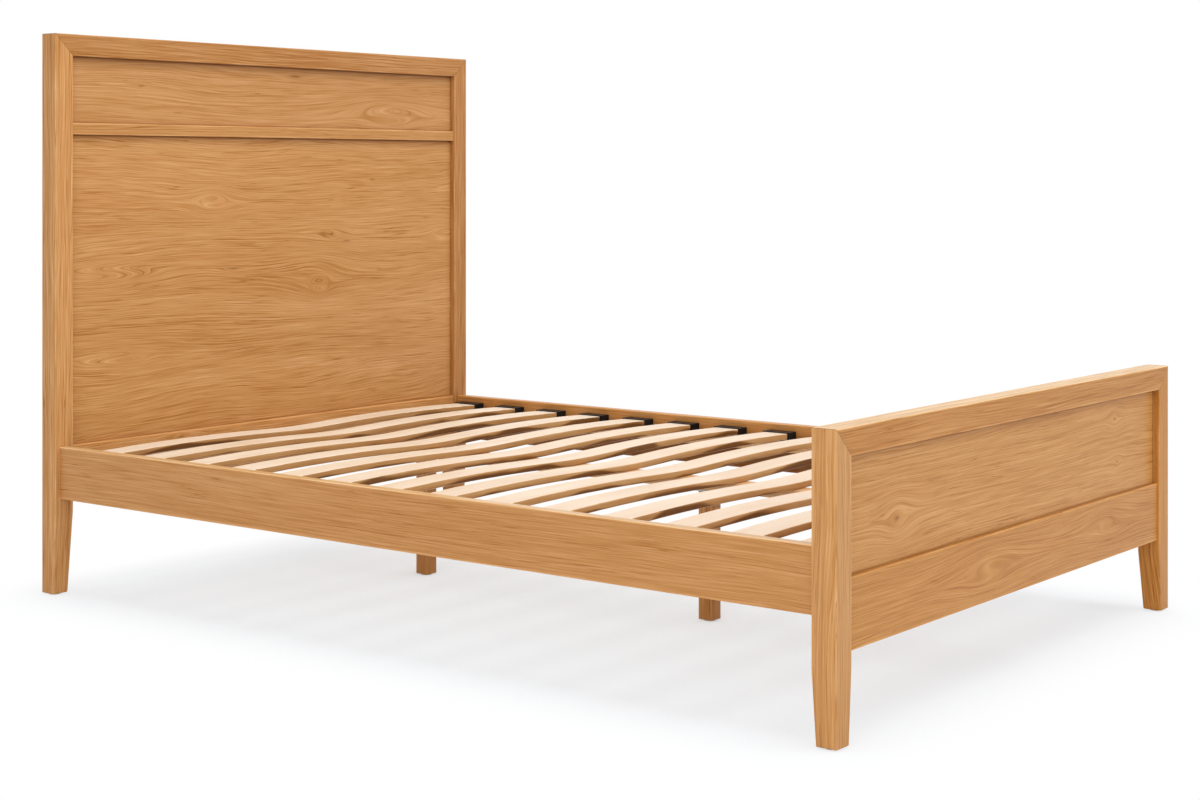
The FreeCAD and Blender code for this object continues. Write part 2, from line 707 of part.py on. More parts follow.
# Brackets that carry the ends of the centre rail: a shelf under it and a plate on the lower rail.

def bracket(label, face, inward):
    """Bracket against a lower rail's face, with its screws and their holes."""
    def reach(distance):
        return f"{face} {inward} {distance}"

    def run(distance):
        ends = (face, reach(distance))
        return ends if inward == "+" else ends[::-1]

    across = about("0", "dims.bracket_width / 2")
    plate_z = (f"{CENTRE_RAIL_BOTTOM} - dims.bracket_drop", CENTRE_RAIL_BOTTOM)
    shelf_z = (f"{CENTRE_RAIL_BOTTOM} - dims.bracket_thick", CENTRE_RAIL_BOTTOM)
    plate = box(f"{label}_plate", across, run("dims.bracket_thick"), plate_z)
    shelf = box(f"{label}_shelf", across, run("dims.bracket_shelf"), shelf_z)
    into_rail = TOWARDS_FOOT if inward == "+" else Y_AXIS
    level = f"{CENTRE_RAIL_BOTTOM} - dims.bracket_screw_down"
    places = []
    for side in ("-", "+"):
        x = f"0 {side} dims.bracket_screw_across"
        places.append(((x, reach("dims.bracket_thick"), level), into_rail))
        places.append(((x, reach("dims.bracket_screw_in"), shelf_z[0]), Z_AXIS))
    screws = []
    holes = []
    for number, (point, axis) in enumerate(places, start=1):
        screws.append(placed(f"{label}_screw_{number}", small_screw, point, axis))
        holes.append(placed(f"{label}_hole_{number}", small_screw_hole, point, axis))
    keep(label, cut(label, fuse(f"{label}_blank", [plate, shelf]), holes))
    return screws, holes


head_bracket_screws, head_bracket_holes = bracket("centre_bracket_head", HEAD_RAIL_FACE, "-")
foot_bracket_screws, foot_bracket_holes = bracket("centre_bracket_foot", FOOT_RAIL_INNER_FACE, "+")

cross_piece(
    "headboard_lower_rail",
    BETWEEN_POSTS,
    HEAD_RAIL_Y,
    ("dims.rail_bottom", RAIL_TOP),
    head_rail_holes,
    [main_groove] + head_bracket_holes,
)
cross_piece(
    "footboard_lower_rail",
    BETWEEN_POSTS,
    FOOT_RAIL_Y,
    ("dims.foot_rail_bottom", FOOT_RAIL_TOP),
    foot_rail_holes,
    [foot_groove] + foot_bracket_holes,
)
head_dowels = group("head_dowels_left", head_rail_dowels + strip_dowels + head_mitre_dowels)
keep("headboard_dowels", both_sides("headboard_dowels", head_dowels))
foot_dowels = group("foot_dowels_left", foot_rail_dowels + foot_mitre_dowels)
keep("footboard_dowels", both_sides("footboard_dowels", foot_dowels))


# Slats. Each is a strip bent into a shallow wave: a dip over the centre rail between two crests.

slat_count = int(value("dims.slat_count"))
SLAT_HALF = f"({RAIL_IN} - dims.cap_wall - dims.slat_end_play)"
DIP_UNDER = "(dims.slat_dip_radius + dims.slat_thick)"
CREST_X = f"(({SLAT_HALF} + 2 * dims.slat_bow * {DIP_UNDER} / {SLAT_HALF}) / 2)"
CREST_RADIUS = f"(({CREST_X}^2 + dims.slat_bow^2) / (2 * dims.slat_bow) - dims.slat_dip_radius)"
CREST_UNDER = f"({CREST_RADIUS} - dims.slat_thick)"
DIP_CENTRE_Z = f"({SLAT_SEAT} + {DIP_UNDER})"
CREST_CENTRE_Z = f"({SLAT_SEAT} + dims.slat_bow - {CREST_UNDER})"


def wave_surface(sketch, crest_radius, dip_radius):
    """Left crest, dip and right crest of one surface of a slat, as three tangent arcs."""
    half = value(SLAT_HALF)
    crest_x = value(CREST_X)
    crest_z = value(CREST_CENTRE_Z)
    dip_z = value(DIP_CENTRE_Z)
    lean = math.atan2(dip_z - crest_z, crest_x)
    end_angle = math.acos((half - crest_x) / crest_radius)
    arcs = (
        (-crest_x, crest_z, crest_radius, lean, math.pi - end_angle),
        (0, dip_z, dip_radius, lean + math.pi, 2 * math.pi - lean),
        (crest_x, crest_z, crest_radius, end_angle, math.pi - lean),
    )
    indices = []
    for centre_x, centre_z, radius, first, last in arcs:
        circle = Part.Circle(FreeCAD.Vector(centre_x, centre_z, 0), FreeCAD.Vector(*Z_AXIS), radius)
        indices.append(sketch.addGeometry(Part.ArcOfCircle(circle, first, last)))
    left, dip, right = indices
    sketch.addConstraint(Sketcher.Constraint("Tangent", left, 1, dip, 1))
    sketch.addConstraint(Sketcher.Constraint("Tangent", right, 2, dip, 2))
    return indices


def slat():
    """Slat across the bed, with its middle at Y zero."""
    body = doc.addObject("PartDesign::Body", "slat_pattern")
    profile = new_sketch(body, "slat_wave", "XZ_Plane", "-dims.slat_width / 2")
    top = wave_surface(profile, value(CREST_RADIUS), value("dims.slat_dip_radius"))
    under = wave_surface(profile, value(CREST_UNDER), value(DIP_UNDER))
    for upper, lower in zip(top, under):
        profile.addConstraint(Sketcher.Constraint("Coincident", upper, 3, lower, 3))
    half = value(SLAT_HALF)
    for side, upper, lower, corner in ((-1, top[0], under[0], 2), (1, top[2], under[2], 1)):
        ends = []
        for arc in (upper, lower):
            curve = profile.Geometry[arc]
            ends.append(curve.EndPoint if corner == 2 else curve.StartPoint)
        line = profile.addGeometry(Part.LineSegment(*ends))
        profile.addConstraint(Sketcher.Constraint("Coincident", line, 1, upper, corner))
        profile.addConstraint(Sketcher.Constraint("Coincident", line, 2, lower, corner))
        profile.addConstraint(Sketcher.Constraint("Vertical", line))
        name = "left_end" if side < 0 else "right_end"
        distance = Sketcher.Constraint("DistanceX", -1, 1, line, 1, side * half)
        drive(profile, name, distance, f"{side} * {SLAT_HALF}")
    crest_x = value(CREST_X)
    dip_radius = value("dims.slat_dip_radius")
    dip_z = value(DIP_CENTRE_Z)
    profile.addConstraint(Sketcher.Constraint("PointOnObject", top[1], 3, -2))
    profile.addConstraint(Sketcher.Constraint("Equal", top[0], top[2]))
    left_crest = Sketcher.Constraint("DistanceX", -1, 1, top[0], 3, -crest_x)
    right_crest = Sketcher.Constraint("DistanceX", -1, 1, top[2], 3, crest_x)
    drive(profile, "left_crest", left_crest, f"-{CREST_X}")
    drive(profile, "right_crest", right_crest, CREST_X)
    drive(profile, "dip_radius", Sketcher.Constraint("Radius", top[1], dip_radius), "dims.slat_dip_radius")
    drive(profile, "dip_under", Sketcher.Constraint("Radius", under[1], value(DIP_UNDER)), DIP_UNDER)
    crest_radius = Sketcher.Constraint("Radius", top[0], value(CREST_RADIUS))
    drive(profile, "crest_radius", crest_radius, CREST_RADIUS)
    drive(profile, "dip_height", Sketcher.Constraint("DistanceY", -1, 1, top[1], 3, dip_z), DIP_CENTRE_Z)
    strip = pad(body, "slat_strip", profile, "dims.slat_width")
    reach = value("dims.slat_width") / 2
    doc.recompute()
    long_edges = []
    for number, edge in enumerate(strip.Shape.Edges, start=1):
        first, last = (corner.Point for corner in edge.Vertexes)
        level = near(abs(first.y), reach) and near(first.y, last.y)
        if level and not near(first.x, last.x):
            long_edges.append(f"Edge{number}")
    rounding = body.newObject("PartDesign::Fillet", "slat_rounding")
    rounding.Base = (strip, long_edges)
    rounding.setExpression("Radius", "dims.slat_round")
    return body


def slat_y(number):
    """Middle of a slat, counted from the headboard."""
    return f"({POST_IN_Y} - dims.slat_end_margin - {number} * {SLAT_PITCH})"


slat_pattern = slat()
for number in range(slat_count):
    label = f"slat_{number + 1:02d}"
    keep(label, placed(label, slat_pattern, ("0", slat_y(number), "0")))


# Caps that hold the slats' ends: a floor, cheeks, roof and end wall round a pocket, and a peg that
# drops into the ledger. The pocket is high enough for the slat as it rises towards the mouth.

CAP_MOUTH = f"({RAIL_IN} - dims.cap_depth)"
SLAT_RISE = (
    f"(sqrt({CREST_UNDER}^2 - ({CAP_MOUTH} - {CREST_X})^2)"
    f" - sqrt({CREST_UNDER}^2 - ({SLAT_HALF} - {CREST_X})^2))"
)
POCKET_TOP = f"({CAP_FLOOR} + dims.slat_thick + {SLAT_RISE} + 2 * dims.slat_play)"
CAP_TOP = f"({POCKET_TOP} + dims.cap_roof)"


def slat_cap():
    """Left cap, with its middle at Y zero."""
    cap_y = about("0", "(dims.slat_width / 2 + dims.slat_play + dims.cap_cheek)")
    cap_x = (f"-{RAIL_IN}", f"-{CAP_MOUTH}")
    shell = board("cap_shell", "Z", cap_x, cap_y, ("dims.ledger_top", CAP_TOP), "dims.cap_corner")
    top_edges = edges_where(shell.Tip, lambda corner: near(corner.z, value(CAP_TOP)))
    easing = shell.newObject("PartDesign::Fillet", "cap_easing")
    easing.Base = (shell.Group[-2], top_edges)
    easing.setExpression("Radius", "dims.cap_edge")
    pocket = box(
        "cap_pocket",
        (f"-{RAIL_IN} + dims.cap_wall", f"-{CAP_MOUTH} + dims.cap_wall"),
        about("0", "(dims.slat_width / 2 + dims.slat_play)"),
        (CAP_FLOOR, POCKET_TOP),
    )
    hollow = cut("cap_hollow", shell, [pocket])
    peg_start = (f"-{LEDGER_MID}", "0", "dims.ledger_top - dims.peg_length")
    peg_reach = "dims.peg_length + dims.cap_wall / 2"
    peg = rod("cap_peg", "dims.peg_radius", peg_reach, peg_start)
    return fuse("slat_cap", [hollow, peg])


cap_pattern = slat_cap()
left_caps = []
peg_holes = []
for number in range(slat_count):
    left_caps.append(placed(f"cap_{number + 1:02d}", cap_pattern, ("0", slat_y(number), "0")))
    peg_bottom = "dims.ledger_top - dims.peg_length - dims.hole_end_gap"
    peg_holes.append(
        rod(
            f"peg_hole_{number + 1:02d}",
            "dims.peg_radius + dims.hole_play",
            "dims.peg_length + 2 * dims.hole_end_gap",
            (f"-{LEDGER_MID}", slat_y(number), peg_bottom),
        )
    )
caps_left = keep("slat_caps_left", group("slat_caps_left", left_caps))
keep("slat_caps_right", mirrored("slat_caps_right", caps_left, X_AXIS))


# Side rails and the ledger battens screwed to their inner faces, with a screw in every other gap.

left_batten_screws = []
batten_holes = []
for gap in range(0, slat_count - 1, 2):
    gap_middle = f"({slat_y(gap)} + {slat_y(gap + 1)}) / 2"
    point = (f"-{LEDGER_IN}", gap_middle, "dims.ledger_top - dims.ledger_height / 2")
    left_batten_screws.append(placed(f"batten_screw_{gap}", batten_screw, point, INTO_BED_LEFT))
    batten_holes.append(placed(f"batten_hole_{gap}", batten_screw_hole, point, INTO_BED_LEFT))
screws_left = group("batten_screws_left", left_batten_screws)
keep("batten_screws", both_sides("batten_screws", screws_left))

ledger_left = cut(
    "ledger_batten_left",
    board(
        "ledger_blank",
        "Y",
        (f"-{RAIL_IN}", f"-{LEDGER_IN}"),
        grown((f"-{POST_IN_Y}", POST_IN_Y), "-dims.ledger_end_gap"),
        ("dims.ledger_top - dims.ledger_height", "dims.ledger_top"),
    ),
    peg_holes + batten_holes,
)
keep("ledger_batten_left", ledger_left)
keep("ledger_batten_right", mirrored("ledger_batten_right", ledger_left, X_AXIS))

rail_end = fuse("side_rail_end", [rail_plate_pocket] + rail_plate_holes)
rail_left = cut(
    "side_rail_left",
    board(
        "side_rail_blank",
        "Y",
        (f"-{RAIL_OUT}", f"-{RAIL_IN}"),
        (f"-{POST_IN_Y}", POST_IN_Y),
        ("dims.rail_bottom", RAIL_TOP),
    ),
    [rail_end, mirrored("side_rail_foot_end", rail_end, Y_AXIS)] + batten_holes,
)
keep("side_rail_left", rail_left)
keep("side_rail_right", mirrored("side_rail_right", rail_left, X_AXIS))


# Centre rail on its brackets and two legs. A steel plate is screwed under the rail above each leg,
# and a threaded rod passes it from the leg into the rail.

def centre_leg(label, y, glide_hole):
    """Leg, with its rod, plate, plate screws and the holes that these need in the rail."""
    hole_radius = "dims.hanger_radius + dims.hole_play"
    rod_start = ("0", y, f"{CENTRE_LEG_TOP} - dims.hanger_in_leg")
    hole_start = ("0", y, f"{rod_start[2]} - dims.hole_end_gap")
    rod_length = "dims.hanger_in_leg + dims.mount_plate_thick + dims.hanger_in_rail"
    hanger = rod(f"{label}_hanger", "dims.hanger_radius", rod_length, rod_start)
    hanger_hole = rod(
        f"{label}_hanger_hole", hole_radius, f"{rod_length} + 2 * dims.hole_end_gap", hole_start
    )
    blank = board(
        f"{label}_blank",
        "Z",
        about("0", "dims.centre_leg_side / 2"),
        about(y, "dims.centre_leg_side / 2"),
        ("dims.glide_height", CENTRE_LEG_TOP),
    )
    keep(label, cut(label, blank, [hanger_hole, glide_hole]))
    plate_blank = box(
        f"{label}_plate_blank",
        about("0", "dims.mount_plate_width / 2"),
        about(y, "dims.mount_plate_length / 2"),
        (CENTRE_LEG_TOP, CENTRE_RAIL_BOTTOM),
    )
    corners = [(side, end) for side in ("-", "+") for end in ("-", "+")]
    screws = []
    holes = [hanger_hole]
    for number, (side, end) in enumerate(corners, start=1):
        point = (f"0 {side} dims.mount_screw_across", f"{y} {end} dims.mount_screw_along", CENTRE_LEG_TOP)
        screws.append(placed(f"{label}_screw_{number}", small_screw, point))
        holes.append(placed(f"{label}_screw_hole_{number}", small_screw_hole, point))
    return hanger, cut(f"{label}_plate", plate_blank, holes), screws, holes


head_hanger, head_plate, head_leg_screws, head_leg_holes = centre_leg(
    "centre_leg_head", HEAD_LEG_Y, head_leg_hole
)
foot_hanger, foot_plate, foot_leg_screws, foot_leg_holes = centre_leg(
    "centre_leg_foot", FOOT_LEG_Y, foot_leg_hole
)
keep("leg_hanger_bolts", group("leg_hanger_bolts", [head_hanger, foot_hanger]))
keep("leg_mount_plates", group("leg_mount_plates", [head_plate, foot_plate]))
centre_screws = head_bracket_screws + foot_bracket_screws + head_leg_screws + foot_leg_screws
keep("centre_rail_screws", group("centre_rail_screws", centre_screws))
keep(
    "centre_rail",
    cut(
        "centre_rail",
        board(
            "centre_rail_blank",
            "Y",
            about("0", "dims.centre_rail_width / 2"),
            (f"{FOOT_RAIL_INNER_FACE} + dims.centre_rail_gap", f"{HEAD_RAIL_FACE} - dims.centre_rail_gap"),
            (CENTRE_RAIL_BOTTOM, CAP_FLOOR),
        ),
        head_leg_holes + foot_leg_holes + head_bracket_holes + foot_bracket_holes,
    ),
)


# Every object has to be sound before any piece is written.

doc.recompute()
for item in doc.Objects:
    if "Invalid" in item.State or "Error" in item.State:
        raise RuntimeError(f"{item.Label} failed: {item.State}")
for item in nodes:
    if item.Shape.isNull() or not item.Shape.isValid() or not item.Shape.Solids:
        raise RuntimeError(f"{item.Label} has no sound solid")
os.makedirs("parts", exist_ok=True)
for item in nodes:
    item.Shape.exportStep(f"parts/{item.Label}.step")
    print(item.Label, len(item.Shape.Solids), round(item.Shape.Volume / 1000, 2))
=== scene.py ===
import math

import bpy
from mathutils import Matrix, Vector


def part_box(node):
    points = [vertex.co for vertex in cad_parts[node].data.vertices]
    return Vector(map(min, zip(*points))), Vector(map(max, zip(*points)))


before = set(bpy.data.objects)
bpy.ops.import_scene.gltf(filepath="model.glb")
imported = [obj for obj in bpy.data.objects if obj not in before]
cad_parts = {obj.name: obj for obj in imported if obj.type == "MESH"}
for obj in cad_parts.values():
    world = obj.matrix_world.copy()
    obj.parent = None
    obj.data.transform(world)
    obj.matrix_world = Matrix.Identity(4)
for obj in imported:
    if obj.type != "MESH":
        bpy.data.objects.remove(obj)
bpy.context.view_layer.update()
scene = bpy.context.scene

# Camera. The photograph is level, and is cropped so that the horizon lies high in it. Its width,
# height, horizon and focal length are in its own pixels.

IMAGE_WIDTH = 1200
IMAGE_HEIGHT = 800
HORIZON_BELOW_TOP = 169.8
FOCAL_PIXELS = 2056.1
SENSOR_MM = 36.0
CAMERA_PLACE = (-3.76843, -2.91349, 0.99941)
CAMERA_YAW = math.radians(52.432)
FARTHEST_SEEN = 200

camera_data = bpy.data.cameras.new("camera")
camera = bpy.data.objects.new("camera", camera_data)
scene.collection.objects.link(camera)
scene.camera = camera
camera.location = CAMERA_PLACE
camera.rotation_euler = (math.pi / 2, 0, -CAMERA_YAW)
camera_data.sensor_width = SENSOR_MM
camera_data.lens = SENSOR_MM * FOCAL_PIXELS / IMAGE_WIDTH
camera_data.shift_y = -(IMAGE_HEIGHT / 2 - HORIZON_BELOW_TOP) / IMAGE_WIDTH
camera_data.clip_end = FARTHEST_SEEN


# Node trees are built by short calls that each return an output socket. A darkening factor is
# raised to these powers for red, green and blue, because wood turns browner as it darkens.

STAIN_POWERS = (1.0, 1.25, 1.6)


class Graph:
    def __init__(self, tree):
        self.tree = tree

    def add(self, kind, inputs=(), **settings):
        """Adds a node, sets its properties, and links or sets its inputs by name or number."""
        node = self.tree.nodes.new(kind)
        for name, setting in settings.items():
            setattr(node, name, setting)
        for key, source in dict(inputs).items():
            self.feed(node.inputs[key], source)
        return node

    def feed(self, socket, source):
        if isinstance(source, bpy.types.NodeSocket):
            self.tree.links.new(source, socket)
        else:
            socket.default_value = source

    def math(self, operation, first, second=0.0):
        return self.add("ShaderNodeMath", {0: first, 1: second}, operation=operation).outputs[0]

    def plus(self, *terms):
        total = terms[0]
        for term in terms[1:]:
            total = self.math("ADD", total, term)
        return total

    def minus(self, first, second):
        return self.math("SUBTRACT", first, second)

    def times(self, first, second):
        return self.math("MULTIPLY", first, second)

    def apart(self, first, second):
        """How far two values lie from each other."""
        return self.math("ABSOLUTE", self.minus(first, second))

    def square_sum(self, *parts):
        return self.plus(*[self.times(part, part) for part in parts])

    def length(self, *parts):
        return self.math("SQRT", self.square_sum(*parts))

    def bell(self, *parts):
        """Falls smoothly from 1 to 0 as the parts leave zero."""
        return self.math("EXPONENT", self.times(self.square_sum(*parts), -1.0))

    def vector(self, x, y, z):
        return self.add("ShaderNodeCombineXYZ", {0: x, 1: y, 2: z}).outputs[0]

    def noise(self, vector, detail=2.0, roughness=0.5, scale=1.0):
        """Noise about zero, in the vector's own units."""
        inputs = {"Vector": vector, "Scale": scale, "Detail": detail, "Roughness": roughness}
        texture = self.add("ShaderNodeTexNoise", inputs)
        return self.minus(texture.outputs[0], 0.5)

    def grain(self, pace, along, across, seed, detail=2.0, roughness=0.5):
        """Noise drawn out along the grain. The pace is its cycles per metre along and across."""
        place = self.vector(self.times(along, pace[0]), self.times(across, pace[1]), seed)
        return self.noise(place, detail, roughness)

    def smooth(self, source, low, high, first=0.0, last=1.0):
        """Eased step from one value to another as the source crosses a range."""
        inputs = {"Value": source, "From Min": low, "From Max": high, "To Min": first, "To Max": last}
        return self.add("ShaderNodeMapRange", inputs, interpolation_type="SMOOTHSTEP").outputs[0]

    def ramp(self, source, places, colours):
        """Colour ramp with its stops at the places."""
        node = self.add("ShaderNodeValToRGB", {0: source})
        elements = node.color_ramp.elements
        while len(elements) < len(places):
            elements.new(0.5)
        for element, place, colour in zip(elements, places, colours):
            element.position = place
            element.color = (*colour, 1)
        return node.outputs[0]

    def shade(self, colour, factor):
        """Colour times a grey factor."""
        inputs = {0: colour, "Scale": factor}
        return self.add("ShaderNodeVectorMath", inputs, operation="SCALE").outputs[0]

    def tint(self, colour, channels):
        """Colour times a factor for red, green and blue."""
        inputs = {0: colour, 1: self.vector(*channels)}
        return self.add("ShaderNodeVectorMath", inputs, operation="MULTIPLY").outputs[0]

    def stain(self, colour, factor, tint=(1, 1, 1)):
        """Colour times a factor that turns it browner as it darkens, and times a tint."""
        powers = [self.math("POWER", factor, power) for power in STAIN_POWERS]
        return self.tint(colour, [self.times(power, part) for power, part in zip(powers, tint)])


def new_material(name):
    material = bpy.data.materials.new(name)
    material.use_nodes = True
    material.node_tree.nodes.clear()
    return material, Graph(material.node_tree)


def finish_material(graph, surface, normal=None):
    """Principled surface with constant inputs set on its own sockets."""
    shader = graph.add("ShaderNodeBsdfPrincipled", surface)
    if normal is not None:
        graph.feed(shader.inputs["Normal"], normal)
    graph.add("ShaderNodeOutputMaterial", {"Surface": shader.outputs[0]})


def bumped(graph, height, distance):
    return graph.add("ShaderNodeBump", {"Height": height, "Distance": distance}).outputs[0]


def object_place(graph):
    """The surface point in the bed's own frame, in metres."""
    return graph.add("ShaderNodeTexCoord").outputs["Object"]


def object_axes(graph):
    """X, Y and Z of the surface point."""
    return graph.add("ShaderNodeSeparateXYZ", {0: object_place(graph)}).outputs


def dress(material, *names):
    """Puts a material on every slot of the named pieces."""
    for name in names:
        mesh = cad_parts[name].data
        if not mesh.materials:
            mesh.materials.append(material)
        for slot in range(len(mesh.materials)):
            mesh.materials[slot] = material


# Oak. One group turns a place on a board into colour, relief and tone: along the grain, across it,
# and into the board. The across coordinate is bent by slow noise, so streaks flow, fork and close
# into arches as they do on a flat-sawn face.

OAK_COLOURS = (
    (0.355, 0.125, 0.022),
    (0.455, 0.186, 0.040),
    (0.525, 0.235, 0.062),
    (0.590, 0.285, 0.088),
    (0.66, 0.35, 0.13),
)
OAK_TONES = (0.16, 0.36, 0.5, 0.64, 0.82)
MEAN_TONE = 0.535

# A seed moves a board along the tree, and depth shows another part of its rings.
SEED_STEP = 7.31
DEPTH_SLANT = 0.62

# Each bend is a pace, its size in metres and its noise's detail.
SLOW_BEND = ((1.1, 4.6), 0.105, 1.5)
MIDDLING_BEND = ((3.6, 15.0), 0.015, 2.0)
QUICK_BEND = ((14.0, 70.0), 0.0022, 2.0)

# Each kind of streak is a pace and its share of the tone.
BROAD_STREAKS = ((0.7, 12.0), 0.30)
BANDS = ((1.3, 66.0), 0.18)
LINES = ((2.8, 280.0), 0.78)
LINE_DETAIL = 2.5
LINE_ROUGHNESS = 0.62
HAIRS = ((9.0, 560.0), 0.95)
HAIR_DETAIL = 1.5

# Growth rings are sharp on one side, and come and go over the board.
RINGS_PER_METRE = 125.0
RING_WANDER = 1.4
RING_SHARPNESS = 5.0
RING_DARKENING = -0.20
RING_PATCHES = (1.2, 8.0)
RING_PATCH_RANGE = (-0.08, 0.18)

# Dark threads lie where their noise passes zero, and come and go too.
THREADS = (1.8, 130.0)
THREAD_WIDTH = (0.004, 0.018)
THREAD_DARKENING = -0.34
THREAD_PATCHES = (3.0, 30.0)
THREAD_PATCH_RANGE = (-0.12, 0.10)

PORES = (30.0, 900.0)
PORE_DETAIL = 1.0
PORE_RANGE = (0.12, 0.24)
PORE_TONE = 0.86

# Shares of the lines, hairs and pores in the relief.
RELIEF_SHARES = (0.4, 0.6, -0.5)


def build_oak_group():
    group = bpy.data.node_groups.new("oak_grain", "ShaderNodeTree")
    face = group.interface
    for name in ("Along", "Across", "Depth", "Seed", "Figure", "Streaks"):
        face.new_socket(name, in_out="INPUT", socket_type="NodeSocketFloat")
    face.new_socket("Color", in_out="OUTPUT", socket_type="NodeSocketColor")
    face.new_socket("Height", in_out="OUTPUT", socket_type="NodeSocketFloat")
    face.new_socket("Tone", in_out="OUTPUT", socket_type="NodeSocketFloat")
    g = Graph(group)
    along, across, depth, seed, figure, streaks = g.add("NodeGroupInput").outputs[:6]
    start = g.plus(along, g.times(seed, SEED_STEP))
    cut = g.plus(across, g.times(depth, DEPTH_SLANT))

    bends = []
    for pace, size, detail in (SLOW_BEND, MIDDLING_BEND, QUICK_BEND):
        bends.append(g.times(g.grain(pace, start, cut, seed, detail), size))
    flow = g.plus(cut, g.times(g.plus(*bends), figure))

    broad = g.grain(BROAD_STREAKS[0], start, flow, seed)
    band = g.grain(BANDS[0], start, flow, seed)
    line = g.grain(LINES[0], start, flow, seed, LINE_DETAIL, LINE_ROUGHNESS)
    hair = g.grain(HAIRS[0], start, flow, seed, HAIR_DETAIL)

    ring_place = g.plus(g.times(flow, RINGS_PER_METRE), g.times(band, RING_WANDER))
    ring_edge = g.math("POWER", g.math("FRACT", ring_place), RING_SHARPNESS)
    ring_shown = g.smooth(g.grain(RING_PATCHES, start, flow, seed), *RING_PATCH_RANGE)
    rings = g.times(g.times(ring_edge, ring_shown), RING_DARKENING)

    thread_off = g.math("ABSOLUTE", g.grain(THREADS, start, flow, seed))
    thread_shown = g.smooth(g.grain(THREAD_PATCHES, start, flow, seed), *THREAD_PATCH_RANGE)
    threads = g.times(g.smooth(thread_off, *THREAD_WIDTH, THREAD_DARKENING, 0.0), thread_shown)

    figuring = g.plus(
        g.times(broad, BROAD_STREAKS[1]),
        g.times(band, BANDS[1]),
        g.times(line, LINES[1]),
        g.times(hair, HAIRS[1]),
        rings,
        threads,
    )
    tone = g.plus(MEAN_TONE, g.times(figuring, streaks))
    pitted = g.smooth(g.grain(PORES, start, flow, seed, PORE_DETAIL), *PORE_RANGE)
    colour = g.shade(g.ramp(tone, OAK_TONES, OAK_COLOURS), g.smooth(pitted, 0.0, 1.0, 1.0, PORE_TONE))
    reliefs = zip((line, hair, pitted), RELIEF_SHARES)
    height = g.plus(*[g.times(relief, share) for relief, share in reliefs])
    g.add("NodeGroupOutput", {0: colour, 1: height, 2: tone})
    return group


oak_group = build_oak_group()

# Which of the bed's axes runs along the grain, across the seen face and into the board.
ALONG_X = (0, 2, 1)
ALONG_Y = (1, 2, 0)
UPRIGHT_FACING_Y = (2, 0, 1)

# Tones are factors on a board's colour, and reaches, depths and blurs are in metres. A seam's blur
# is in halves of its width, and a shade's core is the share of its reach that is fully dark.
# Painted highlight along a board's long edges: its reach and tone.
EDGE_HIGHLIGHT_REACH = (0.0015, 0.005)
EDGE_HIGHLIGHT_TONE = 1.19
POST_EDGE_HIGHLIGHT_TONE = 1.11
CORE_STRETCH = 1.2
CORE_DARKENING = 0.42
LAYER_BLUR = 0.0006
SEAM_HALF = 0.0004
SEAM_BLUR = (0.5, 1.5)
SEAM_TONE = 0.42
SHADE_CORE = 0.55
TOP_LIGHT_DEPTH = 0.0016
TOP_LIGHT_BLUR = 0.0004

WOOD_IOR = 1.5
LACQUER_ROUGHNESS = (0.36, 0.28)
LACQUER_TONES = (0.2, 0.8)
LACQUER_SPECULAR = 0.2
OAK_RELIEF = 0.00025


def painted_edge_highlights(g, axes, node, grain_axis):
    """Painted highlight along the four long edges of a board, and fainter on an upright one."""
    tone = POST_EDGE_HIGHLIGHT_TONE if grain_axis == 2 else EDGE_HIGHLIGHT_TONE
    low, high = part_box(node)
    depths = []
    for axis in range(3):
        if axis != grain_axis:
            off_middle = g.apart(axes[axis], (low[axis] + high[axis]) / 2)
            depths.append(g.minus((high[axis] - low[axis]) / 2, off_middle))
    return g.smooth(g.length(*depths), *EDGE_HIGHLIGHT_REACH, tone, 1.0)


def part_round_knots(g, along, across, knots):
    """Bends the across coordinate round each knot, and gives the darkness of the knots' cores."""
    bent = across
    core_dark = 0.0
    for knot_along, knot_across, reach, stretch, strength, core in knots:
        off_along = g.times(g.minus(along, knot_along), 1 / (reach * stretch))
        height = g.minus(across, knot_across)
        off_across = g.times(height, 1 / reach)
        swell = g.bell(off_along, off_across)
        bent = g.plus(bent, g.times(g.times(swell, height), -strength))
        if core:
            core_along = g.times(off_along, reach / (core * CORE_STRETCH))
            core_across = g.times(off_across, reach / core)
            core_dark = g.plus(core_dark, g.bell(core_along, core_across))
    return bent, core_dark


def lines_and_shades(g, axes, factor, layers, corners, seams, shades):
    """Takes a board's tone on past its glued layers, painted frame shade, glue lines and painted
    shades.
    """
    for axis, place, tone in layers:
        beyond = g.smooth(axes[axis], place - LAYER_BLUR, place + LAYER_BLUR, 1.0, tone)
        factor = g.times(factor, beyond)
    # Painted shade where a sunk panel meets its frame.
    for axis, place, reach, tone in corners:
        off = g.apart(axes[axis], place)
        factor = g.times(factor, g.smooth(off, 0.0, reach, tone, 1.0))
    for point, normal in seams:
        parts = [g.times(axes[axis], normal[axis]) for axis in range(3)]
        off = g.apart(g.plus(*parts), Vector(point).dot(Vector(normal)))
        near, far = (SEAM_HALF * share for share in SEAM_BLUR)
        factor = g.times(factor, g.smooth(off, near, far, SEAM_TONE, 1.0))
    # Painted shade round a line.
    for *lines, tone in shades:
        steps = [g.times(g.minus(axes[axis], place), 1 / reach) for axis, place, reach in lines]
        factor = g.times(factor, g.smooth(g.length(*steps), SHADE_CORE, 1.0, tone, 1.0))
    return factor


# Painted light: a top face is tinted paler where it catches the light.
def paint_top_face_light(g, axes, node, colour, top):
    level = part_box(node)[1].z - TOP_LIGHT_DEPTH
    start, end = level - TOP_LIGHT_BLUR, level + TOP_LIGHT_BLUR
    return g.tint(colour, [g.smooth(axes[2], start, end, 1.0, part) for part in top])


